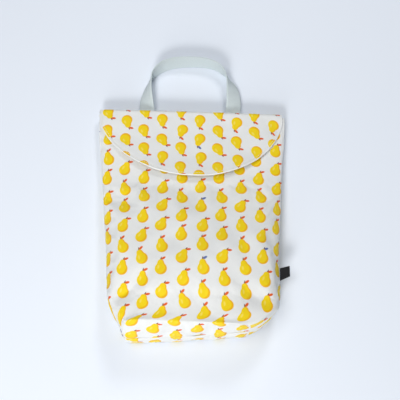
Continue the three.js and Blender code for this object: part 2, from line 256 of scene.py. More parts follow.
def body_points(at, angle, is_front):
    size = sizes_at(at)
    power = 2 / size["square"]
    rise = np.maximum(0, np.sin(angle)) ** power
    side = np.sign(np.cos(angle)) * np.abs(np.cos(angle)) ** power
    x = size["shift"] + size["half"] * side
    y = at * BODY_LENGTH + turn_at(x, at, rise if is_front else 0)
    if is_front:
        z = size["seam"] + (size["crown"] - size["seam"]) * rise - dent_at(x, at) * rise
        return np.stack([x, y + size["lean"] * rise, z], -1)
    sag = (size["seam"] - size["back"]) * (1 + BACK_SPREAD) * rise
    y = y - FOOT_TOE * near_foot(at) * rise
    return np.stack([x, y, np.maximum(size["back"], size["seam"] - sag)], -1)


def run_of(points):
    steps = np.linalg.norm(np.diff(points, axis=0), axis=1)
    return np.concatenate([[0], np.cumsum(steps)])


def resample(points, wanted):
    run = run_of(points)
    return np.stack([np.interp(wanted, run, points[:, k]) for k in range(3)], -1)


def half_section(at, is_front):
    angle = np.pi * (1 - np.arange(SECTION_STEPS + 1) / SECTION_STEPS)
    fine = body_points(np.full_like(angle, at), angle, is_front)
    total = run_of(fine)[-1]
    return resample(fine, np.linspace(SEAM_ROLL, total - SEAM_ROLL, ACROSS + 1))


def surface_height(x, y, is_front):
    rise_turn = 1 if is_front else 0
    at = np.minimum(1, (y - turn_at(x, y / BODY_LENGTH, rise_turn)) / BODY_LENGTH)
    size = sizes_at(at)
    share = np.minimum(1, np.abs(x - size["shift"]) / size["half"])
    rise = (1 - share ** size["square"]) ** (1 / size["square"])
    if is_front:
        return size["seam"] + (size["crown"] - size["seam"]) * rise - dent_at(x, at) * rise
    sag = (size["seam"] - size["back"]) * (1 + BACK_SPREAD) * rise
    return np.maximum(size["back"], size["seam"] - sag)


def ripple(x, y, wavelength, seed, waves=10):
    """Smooth random waves of about that wavelength, from -1 to 1 most of the time."""
    rng = np.random.default_rng(seed)
    total = 0
    for _ in range(waves):
        turn, phase = rng.uniform(0, np.pi), rng.uniform(0, 2 * np.pi)
        length = wavelength * rng.uniform(0.7, 1.5)
        along = x * math.cos(turn) + y * math.sin(turn)
        total = total + np.sin(2 * np.pi * along / length + phase)
    return total / math.sqrt(waves / 2) / 1.6


def fade(distance, reach):
    return np.clip(1 - distance / reach, 0, 1) ** 2


def vertex_normals(points, quads):
    a, b, c, d = (points[quads[:, k]] for k in range(4))
    face = np.cross(c - a, d - b)
    normals = np.zeros_like(points)
    for k in range(4):
        np.add.at(normals, quads[:, k], face)
    return normals / np.maximum(1e-12, np.linalg.norm(normals, axis=1, keepdims=True))


def make_object(name, points, quads, uvs, material):
    mesh = bpy.data.meshes.new(name)
    placed = (points - [0, BODY_LENGTH / 2, 0]) * 0.001
    mesh.from_pydata(placed.tolist(), [], quads.tolist())
    layer = mesh.uv_layers.new(name="cloth")
    layer.data.foreach_set("uv", uvs.reshape(-1).astype(np.float32))
    mesh.polygons.foreach_set("use_smooth", [True] * len(mesh.polygons))
    mesh.validate()
    mesh.update()
    obj = bpy.data.objects.new(name, mesh)
    scene.collection.objects.link(obj)
    obj.data.materials.append(material)
    return obj


def shell(points, quads, uvs, wall, bare_rim=None):
    """The closed solid of an outer surface and its copy one wall further in, with a round rim."""
    normals = vertex_normals(points, quads)
    wall = np.broadcast_to(np.asarray(wall, float), (len(points),))[:, None]
    edges = {}
    for f, quad in enumerate(quads):
        for k in range(4):
            edges[(quad[k], quad[(k + 1) % 4])] = (f, k)
    border = [(e, where) for e, where in edges.items() if (e[1], e[0]) not in edges]
    outward = {}
    for (a, b), _ in border:
        side = np.cross(points[b] - points[a], normals[a] + normals[b])
        for i in (a, b):
            outward[i] = outward.get(i, 0) + side / max(1e-9, np.linalg.norm(side))
    count = len(points)
    rim_of, extra = {}, []
    for i, side in outward.items():
        side = side - normals[i] * np.dot(side, normals[i])
        side = side / max(1e-9, np.linalg.norm(side))
        rim = []
        for step in range(1, RIM_STEPS + 1):
            a = np.pi * step / (RIM_STEPS + 1)
            reach = math.cos(a) * normals[i] + math.sin(a) * side
            extra.append(points[i] + (reach - normals[i]) * wall[i] / 2)
            rim.append(2 * count + len(extra) - 1)
        rim_of[i] = [i, *rim, i + count]
    inner = points - normals * wall
    all_points = np.concatenate([points, inner, np.array(extra).reshape(-1, 3)])
    all_quads = [quads, quads[:, ::-1] + count]
    all_uvs = [uvs, uvs[:, ::-1]]
    rim_quads, rim_uvs = [], []
    for (a, b), (f, k) in border:
        ua, ub = uvs[f, k], uvs[f, (k + 1) % 4]
        for step in range(RIM_STEPS + 1):
            quad = [rim_of[a][step + 1], rim_of[b][step + 1], rim_of[b][step], rim_of[a][step]]
            rim_quads.append(quad)
            rim_uvs.append([ua, ub, ub, ua] if bare_rim is None else [bare_rim] * 4)
    all_quads.append(np.array(rim_quads))
    all_uvs.append(np.array(rim_uvs))
    return all_points, np.concatenate(all_quads), np.concatenate(all_uvs)


def settled(points, quads, hold):
    """The surface after a short cloth simulation that swells it between its seams, with its moves capped."""
    mesh = bpy.data.meshes.new("settling")
    mesh.from_pydata((points * 0.001).tolist(), [], quads.tolist())
    obj = bpy.data.objects.new("settling", mesh)
    scene.collection.objects.link(obj)
    group = obj.vertex_groups.new(name="hold")
    for level in np.unique(hold[hold > 0]):
        group.add(np.flatnonzero(hold == level).tolist(), float(level), "REPLACE")
    cloth = obj.modifiers.new("cloth", "CLOTH")
    fabric = cloth.settings
    fabric.quality = 6
    fabric.mass = 0.25
    fabric.tension_stiffness = fabric.compression_stiffness = 30
    fabric.shear_stiffness = 12
    fabric.bending_stiffness = SIM_BEND
    fabric.vertex_group_mass = "hold"
    fabric.use_pressure = True
    fabric.uniform_pressure_force = SIM_PRESSURE
    fabric.shrink_min = fabric.shrink_max = -SIM_EASE
    fabric.effector_weights.gravity = 0
    cloth.point_cache.frame_start, cloth.point_cache.frame_end = 1, SIM_FRAMES
    for number in range(1, SIM_FRAMES + 1):
        scene.frame_set(number)
    shown = obj.evaluated_get(bpy.context.evaluated_depsgraph_get()).data
    got = np.zeros(len(points) * 3)
    shown.vertices.foreach_get("co", got)
    move = got.reshape(-1, 3) * 1000 - points
    far = np.linalg.norm(move, axis=1, keepdims=True)
    print("settled: largest move %.2f mm, mean %.2f mm" % (far.max(), far.mean()))
    bpy.data.objects.remove(obj)
    bpy.data.meshes.remove(mesh)
    scene.frame_set(1)
    return points + move / np.maximum(far, 1e-9) * SIM_CAP * np.tanh(far / SIM_CAP)


def grid_quads(rows):
    rows = np.asarray(rows)
    return np.stack([rows[:-1, :-1], rows[:-1, 1:], rows[1:, 1:], rows[1:, :-1]], -1).reshape(-1, 4)


def grid_patch(table, u, v, flip):
    """The quads of a grid of point numbers, with their places on the flat cloth."""
    order = np.arange(table.size).reshape(table.shape)
    local = grid_quads(order[::-1] if flip else order)
    return table.reshape(-1)[local], np.stack([u, v], -1).reshape(-1, 2)[local]


def crease_distance(u, v, left, right):
    """Distance over the cloth from the fold along the foot and up both flanks to the side seams."""
    out = np.maximum(0, np.maximum(left - u, u - right))
    return np.abs(v - CREASE_CLIMB * out) / math.hypot(1, CREASE_CLIMB)


def crest_share(u):
    """How much of the lift the crest has along its width: most at the right corner."""
    return np.interp(u, CREST_PLACES, CREST_SHARES)


def panel_sections(is_front):
    top = 1 - MOUTH_SETBACK / BODY_LENGTH if is_front else 1
    shares = top * (np.arange(LENGTHWISE + 1) / LENGTHWISE) ** ROW_SPACING
    return np.array([half_section(at, is_front) for at in shares])


def foot_strip(sections):
    """The foot below the first section, between its two side parts, and the columns in each of those."""
    edge, first = sections[0], sections.shape[0] * (ACROSS + 1)
    middle = edge[ACROSS // 2]
    tall = abs(middle[2] - edge[0][2])
    side = round(ACROSS * tall / (2 * tall + 2 * edge[-1][0]))
    inner = ACROSS - 2 * side
    above = edge[side:ACROSS - side + 1]
    t = np.linspace(0, 1, inner + 1)[:, None]
    bottom = edge[0] * (1 - t) + edge[-1] * t
    table, points, mids = [np.arange(side, ACROSS - side + 1)], [], [middle]
    for j in range(1, side + 1):
        w = j / side
        left, right = edge[side - j], edge[ACROSS - side + j]
        line = above * (1 - w) + bottom * w + left * (1 - t) + right * t
        line -= (edge[side] * (1 - t) + edge[ACROSS - side] * t) * (1 - w) + bottom * w
        bulge = np.sin(np.pi * t[:, 0]) ** 0.6 * math.sin(np.pi / 2 * w)
        line[:, 1] -= FOOT_BULGE * bulge
        start = first + len(points)
        points.extend(line[1:-1])
        table.append(np.array([side - j, *range(start, start + inner - 1), ACROSS - side + j]))
        mids.append(line[inner // 2])
    return side, np.array(table), np.array(points), run_of(np.array(mids))


def hold_weights(sections, v, is_front):
    """How firmly the simulation holds each point: wholly at seams and hems, partly where the cloth rests."""
    if is_front:
        under_flap = smoothstep(v, 0.6 * BODY_LENGTH, 0.7 * BODY_LENGTH)
        near_crest = 1 - smoothstep(v, 0, CREST_HOLD)
        hold = np.maximum(np.round(HOLD_UNDER_FLAP * under_flap * 10) / 10, np.round(9 * near_crest) / 10)
    else:
        hold = np.where(sections[..., 2] < 1, HOLD_RESTING, 0)
    hold[:, [0, -1]] = 1
    hold[[0, -1]] = 1
    return hold


def panel_relief(u, v, to_seam, side, seed, is_front):
    """Folds, puckers at the seams and the seams' own valleys, as offsets along the normals."""
    calm = 1 - 0.75 * smoothstep(v, 0.62 * BODY_LENGTH, 0.75 * BODY_LENGTH) if is_front else 0.5
    waves = BROAD_FOLD * ripple(u, v, BROAD_FOLD_LONG, seed)
    waves += FINE_FOLD * ripple(u, v, FINE_FOLD_LONG, seed + 1)
    swell = calm * (waves * smoothstep(to_seam, 0, 22) * smoothstep(v, 0, 14))
    gathers = np.abs(ripple(v, 0 * v + np.sign(u) * 40, PUCKER_LONG, seed + 2, 6))
    pucker = PUCKER * gathers * np.exp(-to_seam / PUCKER_REACH) * smoothstep(to_seam, 0, 4)
    valley = SEAM_VALLEY * fade(to_seam, SEAM_VALLEY_WIDE)
    middle = ACROSS // 2
    out = np.abs(np.arange(ACROSS + 1) - middle)
    box_side = smoothstep(out, middle - side - 3, middle - side + 1)[None]
    tee = BOX_VALLEY * fade(v, BOX_VALLEY_WIDE) * box_side * smoothstep(to_seam, 0, 3)
    return swell - pucker - valley - tee


def foot_relief(u, v, to_end, depth, seed):
    """The same for the foot, whose v runs down from the crease."""
    folds = FINE_FOLD * ripple(u, v, FOOT_FOLD_LONG, seed + 3)
    folds *= smoothstep(to_end, 0, 10) * smoothstep(-v, 0, 6)
    folds -= BOX_VALLEY * fade(to_end, BOX_VALLEY_WIDE)
    return folds - SEAM_VALLEY * fade(v + depth, FOOT_VALLEY_WIDE)


def lip_height(u, distance):
    return CREASE_LIP * (CREASE_LIP_LEAST + crest_share(u)) * np.exp(-distance / CREASE_WIDE)


def body_panel(name, is_front, material, seed):
    """One panel with its half of the boxed foot, and its flat cut's width, length and area."""
    sections = panel_sections(is_front)
    middle = ACROSS // 2
    along = run_of(sections[:, middle])
    steps = np.linalg.norm(np.diff(sections, axis=1), axis=2)
    run = np.concatenate([np.zeros((len(sections), 1)), np.cumsum(steps, axis=1)], 1)
    u = run - run[:, middle:middle + 1]
    v = np.repeat(along[:, None], ACROSS + 1, 1)
    to_seam = np.minimum(run, run[:, -1:] - run)
    side, table, foot_points, depths = foot_strip(sections)
    left, right, depth = u[0, side], u[0, -1 - side], depths[-1]
    foot_u, foot_v = np.meshgrid(u[0, side:ACROSS - side + 1], -depths)
    rows = np.arange(v.size).reshape(v.shape)
    patches = grid_patch(rows, u, v, not is_front), grid_patch(table, foot_u, foot_v, is_front)
    quads, uvs = (np.concatenate(parts) for parts in zip(*patches))
    points = np.concatenate([sections.reshape(-1, 3), foot_points])

    hold = np.concatenate([hold_weights(sections, v, is_front).reshape(-1), np.zeros(len(foot_points))])
    hold[table[-1]] = 1
    points = settled(points, quads, hold)

    foot_u, foot_v = foot_u[1:, 1:-1], foot_v[1:, 1:-1]
    to_end = np.minimum(foot_u - left, right - foot_u)
    to_crease = crease_distance(u, v, left, right)
    relief = panel_relief(u, v, to_seam, side, seed, is_front)
    low_relief = foot_relief(foot_u, foot_v, to_end, depth, seed)
    if is_front:
        relief += lip_height(u, to_crease)
        low_relief += lip_height(foot_u, -foot_v)
    offset = np.concatenate([relief.reshape(-1), low_relief.reshape(-1)])
    points = points + vertex_normals(points, quads) * offset[:, None]
    if is_front:
        lift = crest_share(u) * np.exp(-to_crease / CREST_REACH) * smoothstep(to_seam, 2, 26)
        low_lift = crest_share(foot_u) * np.clip(1 + foot_v / depth, 0, 1) * smoothstep(to_end, 0, 3)
        points[:, 2] += CREST_LIFT * np.concatenate([lift.reshape(-1), low_lift.reshape(-1)])
    else:
        points[:, 2] = np.maximum(points[:, 2], 0)
    long = along[-1] + depth
    cut = (FLAT_WIDTH, long, FLAT_WIDTH * long - (FLAT_WIDTH - FOOT_WIDTH) * depth)
    return make_object(name, *shell(points, quads, uvs, WALL), material), cut


def hem_drop(spread):
    """How far down the flap's hem hangs, from one end of its fold to the other."""
    return FLAP_SIDE + (FLAP_DROP - FLAP_SIDE) * np.maximum(0, np.cos(spread)) ** FLAP_SLENDER


def flap_grid():
    spread = np.linspace(-np.pi / 2, np.pi / 2, ACROSS + 1)
    x = FLAP_OFFSET + FLAP_WIDTH / 2 * np.sin(spread)
    top = BODY_LENGTH + turn_at(x, np.ones_like(x), 1)
    under = surface_height(x, top, False)
    over = surface_height(x, top, True) + FLAP_GAP + SOLID_WALL
    rows = []
    for a in np.pi * np.arange(FOLD_ROWS + 1) / FOLD_ROWS:
        y = top + np.maximum(SEAM_GAP, TOP_FOLD * math.sin(a))
        rows.append(np.stack([x, y, (under + over) / 2 - math.cos(a) * (over - under) / 2], -1))
    drop = hem_drop(spread - 2 * FLAP_SHIFT * np.cos(spread) / FLAP_WIDTH)
    for w in np.arange(1, FLAP_ROWS + 1) / FLAP_ROWS:
        y = top - drop * w
        lift = FLAP_LIFT * (drop * w / FLAP_DROP) ** 2
        z = surface_height(x, y, True) + FLAP_GAP + SOLID_WALL + lift
        rows.append(np.stack([x, y, z], -1))
    return np.array(rows)


def distance_to_line(points, line):
    """Distance of each point to the nearest point of a finely spaced line, seen from above."""
    gaps = points[:, None, :2] - line[None, :, :2]
    return np.sqrt((gaps ** 2).sum(-1)).min(1)


def flap_panel(name, material, seed):
    """The flap, its flat cut's width, length and area, and the grid of its outer points."""
    grid = flap_grid()
    middle = ACROSS // 2
    along = run_of(grid[:, middle])
    steps = np.linalg.norm(np.diff(grid, axis=0), axis=2)
    down = np.concatenate([np.zeros((1, ACROSS + 1)), np.cumsum(steps, axis=0)], 0)
    u = grid[..., 0] - grid[:, middle:middle + 1, 0]
    v = BODY_LENGTH + down
    quads, uvs = grid_patch(np.arange(down.size).reshape(down.shape), u, v, True)
    flat = grid.reshape(-1, 3)
    hem = resample(grid[-1], np.linspace(0, run_of(grid[-1])[-1], HEM_STEPS))
    to_hem = distance_to_line(flat, hem).reshape(down.shape)
    to_hem[:FOLD_ROWS] = 3 * HEM_FAR
    band = 1 - smoothstep(to_hem, HEM_NEAR, HEM_FAR)
    stitch = np.exp(-((to_hem - HEM_STITCH) / 0.7) ** 2)
    quiet = smoothstep(down, 4, 30)
    offset = 0.15 * band - 0.3 * stitch + 0.25 * np.exp(-to_hem / 1.2)
    offset += 0.5 * quiet * ripple(u, v, 48, seed)
    offset += 0.35 * np.exp(-to_hem / 9) * ripple(u, v * 0.2, 13, seed + 1, 8) * quiet
    wall = FLAP_WALL + band * (HEM_THICKER + HEM_WAVER * ripple(u, 0 * u, 60, seed + 2))
    points = flat + vertex_normals(flat, quads) * offset.reshape(-1, 1)
    spread = np.linspace(-np.pi / 2, np.pi / 2, AREA_STEPS)
    drop, wide = hem_drop(spread), FLAP_WIDTH / 2 * np.sin(spread)
    hem_area = ((drop[1:] + drop[:-1]) / 2 * np.diff(wide)).sum()
    cut = (FLAP_WIDTH, along[-1], FLAP_WIDTH * along[FOLD_ROWS] + hem_area)
    blank = (0.0, CELL_TALL)
    solid = shell(points, quads, uvs, wall.reshape(-1), blank)
    return make_object(name, *solid, material), cut, points.reshape(grid.shape)


def strap_stations():
    """The webbing's chosen stations and its roll at each, with its two ends tucked behind the top fold."""

    def behind(x, y):
        back = float(surface_height(np.array(x), np.array(float(y)), False))
        return back - (SEAM_GAP + STRAP_THICK / 2)

    half = HANDLE_SPREAD / 2
    leaving = behind(HANDLE_SHIFT - half, BODY_LENGTH)
    points, rolls = [], []
    for side, rise, lift, roll in STRAP:
        x, y = HANDLE_SHIFT + side * half, BODY_LENGTH + HANDLE_RISE * rise
        points.append((x, y, leaving + lift * STRAP_WIDTH))
        rolls.append(roll)
    sewn = [[], []]
    for end, x in zip(sewn, (HANDLE_SHIFT - half, HANDLE_SHIFT + half)):
        for step in (1, 2, 3):
            y = BODY_LENGTH - HANDLE_TUCK * step / 3
            end.append((x, y, behind(x, y)))
    points = sewn[0][::-1] + points + sewn[1]
    return np.array(points), np.array([0] * 3 + rolls + [0] * 3, float)


def spline_points(points, steps):
    """Points and tangents of the centripetal curve through the stations."""
    first, last = 2 * points[0] - points[1], 2 * points[-1] - points[-2]
    p = np.concatenate([[first], points, [last]])
    places, ways = [], []
    for t in np.linspace(0, len(points) - 1, steps + 1):
        i = min(int(t), len(points) - 2)
        w = t - i
        p0, p1, p2, p3 = p[i:i + 4]
        d0, d1, d2 = (math.sqrt(np.linalg.norm(b - a)) for a, b in ((p0, p1), (p1, p2), (p2, p3)))
        t1 = ((p1 - p0) / d0 - (p2 - p0) / (d0 + d1) + (p2 - p1) / d1) * d1
        t2 = ((p2 - p1) / d1 - (p3 - p1) / (d1 + d2) + (p3 - p2) / d2) * d1
        c2, c3 = -3 * p1 + 3 * p2 - 2 * t1 - t2, 2 * p1 - 2 * p2 + t1 + t2
        places.append(p1 + t1 * w + c2 * w * w + c3 * w ** 3)
        ways.append(t1 + 2 * c2 * w + 3 * c3 * w * w)
    ways = np.array(ways)
    return np.array(places), ways / np.linalg.norm(ways, axis=1, keepdims=True)


def tube(name, rings, ring_uv, along, material):
    """A closed tube from rings of points, with u round the ring and v along it."""
    count, size = rings.shape[:2]
    index = np.arange(count * size).reshape(count, size)
    quads, uvs = [], []
    for i in range(count - 1):
        for k in range(size):
            n = (k + 1) % size
            quads.append([index[i, k], index[i, n], index[i + 1, n], index[i + 1, k]])
            u0, u1 = ring_uv[k], ring_uv[k + 1]
            uvs.append([(u0, along[i]), (u1, along[i]), (u1, along[i + 1]), (u0, along[i + 1])])
    mesh_points = rings.reshape(-1, 3)
    half = size // 2
    for i, flip in ((0, True), (count - 1, False)):
        for k in range(half - 1):
            quad = [index[i, k], index[i, k + 1], index[i, size - 2 - k], index[i, size - 1 - k]]
            quads.append(quad[::-1] if flip else quad)
            uvs.append([(0, along[i])] * 4)
    return make_object(name, mesh_points, np.array(quads), np.array(uvs), material)


def band_profile(width, thick, flat_steps=10, edge_steps=2):
    """A flat band's cross-section with round edges, as (across, up) points."""
    r = thick / 2
    top = [(x, r) for x in np.linspace(width / 2 - r, -width / 2 + r, flat_steps + 1)]
    turns = np.pi * np.arange(1, edge_steps + 2) / (edge_steps + 2)
    left = [(-width / 2 + r - r * math.sin(a), r * math.cos(a)) for a in turns]
    low = [(-x, -z) for x, z in top]
    right = [(-x, -z) for x, z in left]
    return np.array(top + left + low + right)


def webbing(name, material):
    stations, rolls = strap_stations()
    centre, forward = spline_points(stations, STRAP_STEPS)
    places = np.linspace(0, len(stations) - 1, STRAP_STEPS + 1)
    roll = np.radians(np.interp(places, np.arange(len(stations)), rolls))
    outward = np.stack([-forward[:, 1], forward[:, 0], 0 * roll], -1)
    outward /= np.linalg.norm(outward, axis=1, keepdims=True)
    across = outward * np.cos(roll)[:, None]
    across[:, 2] -= np.sin(roll)
    across -= forward * (across * forward).sum(1, keepdims=True)
    across /= np.linalg.norm(across, axis=1, keepdims=True)
    face = np.cross(forward, across)
    profile = band_profile(STRAP_WIDTH, STRAP_THICK)
    rings = centre[:, None] + across[:, None] * profile[None, :, :1] + face[:, None] * profile[None, :, 1:]
    ring_uv = np.append(profile[:, 0], profile[0, 0])
    return tube(name, rings[:, ::-1], ring_uv[::-1], run_of(centre), material)


def side_tab(name, material):
    outer = TAB_LEAF + TAB_OPEN / 2
    mid = (outer + TAB_OPEN / 2) / 2
    reach = TAB_REACH - outer
    turn = np.linspace(-np.pi / 2, np.pi / 2, 13)
    line = [(x, -mid) for x in np.linspace(0, reach, 8)[:-1]]
    line += [(reach + mid * math.cos(a), mid * math.sin(a)) for a in turn]
    line += [(x, mid) for x in np.linspace(reach, 0, 8)[1:]]
    line = np.array([(x, 0, z) for x, z in line])
    way = np.gradient(line, axis=0)
    way /= np.linalg.norm(way, axis=1, keepdims=True)
    out = np.cross(way, [0, 1, 0])
    profile = band_profile(TAB_LENGTH, TAB_LEAF, 8, 1)
    rings = line[:, None] + np.array([0, 1, 0]) * profile[None, :, :1] + out[:, None] * profile[None, :, 1:]
    lower = np.clip(0.5 - rings[..., 2] / (2 * mid), 0, 1)
    rings[..., 1] += TAB_SKEW * rings[..., 0] - TAB_SLIP * lower * (1 - rings[..., 0] / TAB_REACH)
    at_top = TAB_AT + TAB_LENGTH / 2 / BODY_LENGTH
    size = sizes_at(at_top)
    rings += [size["shift"] + size["half"] + SEAM_GAP, TAB_AT * BODY_LENGTH, sizes_at(TAB_AT)["seam"]]
    return tube(name, rings, np.append(profile[:, 0], profile[0, 0]), run_of(line), material)


def stitches(name, places, ways, normals, material):
    """Short rounded threads lying along a line, one for each place."""
    sides, shape = 6, ((-0.5, 0.35), (-0.38, 0.9), (0, 1), (0.38, 0.9), (0.5, 0.35))
    points, quads, uvs = [], [], []
    for place, way, normal in zip(places, ways, normals):
        across = np.cross(normal, way)
        base = len(points)
        for along, wide in shape:
            for k in range(sides):
                a = 2 * np.pi * k / sides
                ring = across * math.cos(a) + normal * math.sin(a)
                points.append(place + way * along * STITCH_LONG + ring * wide * STITCH_THICK / 2)
        for i in range(len(shape) - 1):
            for k in range(sides):
                n = (k + 1) % sides
                low, high = base + i * sides, base + (i + 1) * sides
                quads.append([low + k, low + n, high + n, high + k])
        last = base + (len(shape) - 1) * sides
        quads += [[base + 3, base + 2, base + 1, base], [base + 5, base + 4, base + 3, base]]
        quads += [[last, last + 1, last + 2, last + 3], [last, last + 3, last + 4, last + 5]]
    uvs = np.zeros((len(quads), 4, 2))
    return make_object(name, np.array(points), np.array(quads), uvs, material)


def hem_stitching(name, flap_points, material):
    """Stitches along the line that lies one stitch inset from the flap's hem, found column by column."""
    normal_grid = np.cross(np.gradient(flap_points, axis=1), np.gradient(flap_points, axis=0))
    normal_grid /= np.linalg.norm(normal_grid, axis=2, keepdims=True)
    normal_grid *= np.sign(normal_grid[..., 2:])
    hem = resample(flap_points[-1], np.linspace(0, run_of(flap_points[-1])[-1], HEM_STEPS))
    gap = distance_to_line(flap_points.reshape(-1, 3), hem).reshape(flap_points.shape[:2])
    line, normals = [], []
    for c in range(3, ACROSS - 2):
        here = gap[FOLD_ROWS:, c]
        k = np.argmax(here < HEM_STITCH)
        if k == 0:
            continue
        t = (here[k - 1] - HEM_STITCH) / (here[k - 1] - here[k])
        a, b = flap_points[FOLD_ROWS + k - 1, c], flap_points[FOLD_ROWS + k, c]
        line.append(a * (1 - t) + b * t)
        normals.append(normal_grid[FOLD_ROWS + k, c])
    line, normals = np.array(line), np.array(normals)
    run = run_of(line)
    spots = np.arange(2, run[-1] - 2, STITCH_PITCH)
    ways = resample(line, spots + 0.5) - resample(line, spots - 0.5)
    ways /= np.linalg.norm(ways, axis=1, keepdims=True)
    up = np.stack([np.interp(spots, run, normals[:, k]) for k in range(3)], -1)
    up /= np.linalg.norm(up, axis=1, keepdims=True)
    return stitches(name, resample(line, spots) + up * STITCH_LIFT, ways, up, material)


# Materials
class Wire:
    """A value flowing through a material's nodes."""

    def __init__(self, graph, socket):
        self.graph, self.socket = graph, socket

    def __add__(self, other):
        return self.graph.math("ADD", self, other)

    def __sub__(self, other):
        return self.graph.math("SUBTRACT", self, other)

    def __mul__(self, other):
        return self.graph.math("MULTIPLY", self, other)

    def __truediv__(self, other):
        return self.graph.math("DIVIDE", self, other)


class Graph:
    def __init__(self, name, roughness, sheen):
        self.material = bpy.data.materials.new(name)
        self.material.use_nodes = True
        self.tree = self.material.node_tree
        self.shader = self.tree.nodes["Principled BSDF"]
        self.shader.inputs["Roughness"].default_value = roughness
        self.shader.inputs["Sheen Weight"].default_value = sheen
        self.shader.inputs["Sheen Roughness"].default_value = 0.6
        self.shader.inputs["Specular IOR Level"].default_value = 0.25

    def node(self, kind, **settings):
        node = self.tree.nodes.new("ShaderNode" + kind)
        for key, value in settings.items():
            setattr(node, key, value)
        return node

    def feed(self, socket, value):
        if isinstance(value, Wire):
            self.tree.links.new(value.socket, socket)
        else:
            socket.default_value = value

    def math(self, operation, *values, clamp=False):
        node = self.node("Math", operation=operation, use_clamp=clamp)
        for socket, value in zip(node.inputs, values):
            self.feed(socket, value)
        return Wire(self, node.outputs[0])

    def vector(self, x, y, z=0.0):
        node = self.node("CombineXYZ")
        for socket, value in zip(node.inputs, (x, y, z)):
            self.feed(socket, value)
        return Wire(self, node.outputs[0])

    def flat(self):
        split = self.node("SeparateXYZ")
        self.tree.links.new(self.node("UVMap", uv_map="cloth").outputs[0], split.inputs[0])
        return Wire(self, split.outputs[0]), Wire(self, split.outputs[1])

    def noise(self, vector, scale, detail=2.0):
        node = self.node("TexNoise")
        self.feed(node.inputs["Vector"], vector)
        node.inputs["Scale"].default_value = scale
        node.inputs["Detail"].default_value = detail
        return Wire(self, node.outputs[0])

    def mix(self, share, a, b, blend="MIX"):
        node = self.node("Mix", data_type="RGBA", blend_type=blend)
        self.feed(node.inputs[0], share)
        self.feed(node.inputs[6], a)
        self.feed(node.inputs[7], b)
        return Wire(self, node.outputs[2])

    def edge(self, distance, soft=0.22):
        """1 inside a shape and 0 outside it, from its signed distance in millimetres."""
        return self.math("MULTIPLY_ADD", distance, -0.5 / soft, 0.5, clamp=True)

    def bump(self, height, distance, strength=1.0, before=None):
        node = self.node("Bump")
        node.inputs["Strength"].default_value = strength
        node.inputs["Distance"].default_value = distance
        self.feed(node.inputs["Height"], height)
        if before is not None:
            self.feed(node.inputs["Normal"], before)
        return Wire(self, node.outputs[0])

    def circle(self, x, y, cx, cy, r):
        dx, dy = x - cx, y - cy
        return self.math("SQRT", dx * dx + dy * dy) - r

    def oval(self, x, y, cx, cy, rx, ry, turn=0.0):
        c, s = math.cos(math.radians(turn)), math.sin(math.radians(turn))
        dx, dy = x - cx, y - cy
        px, py = (dx * c + dy * s) / rx, (dy * c - dx * s) / ry
        return (self.math("SQRT", px * px + py * py) - 1) * min(rx, ry)


def srgb(r, g, b):
    def line(c):
        c /= 255
        return c / 12.92 if c <= 0.04045 else ((c + 0.055) / 1.055) ** 2.4
    return (line(r), line(g), line(b), 1)


CELL_WIDE, CELL_TALL = 23.6, 26.7
MOTIF = 1.12
MOTIF_STRAY = 2.4
MOTIF_TURN = 0.87
THREAD_PITCH = 0.9
GROUND = srgb(240, 242, 243)
PEAR = srgb(248, 216, 4)
PEAR_SHADE = srgb(244, 184, 2)
PEAR_LIGHT = srgb(252, 234, 110)
STEM = srgb(120, 72, 28)
LEAF = srgb(232, 96, 28)
ODD_LEAF = srgb(96, 116, 176)


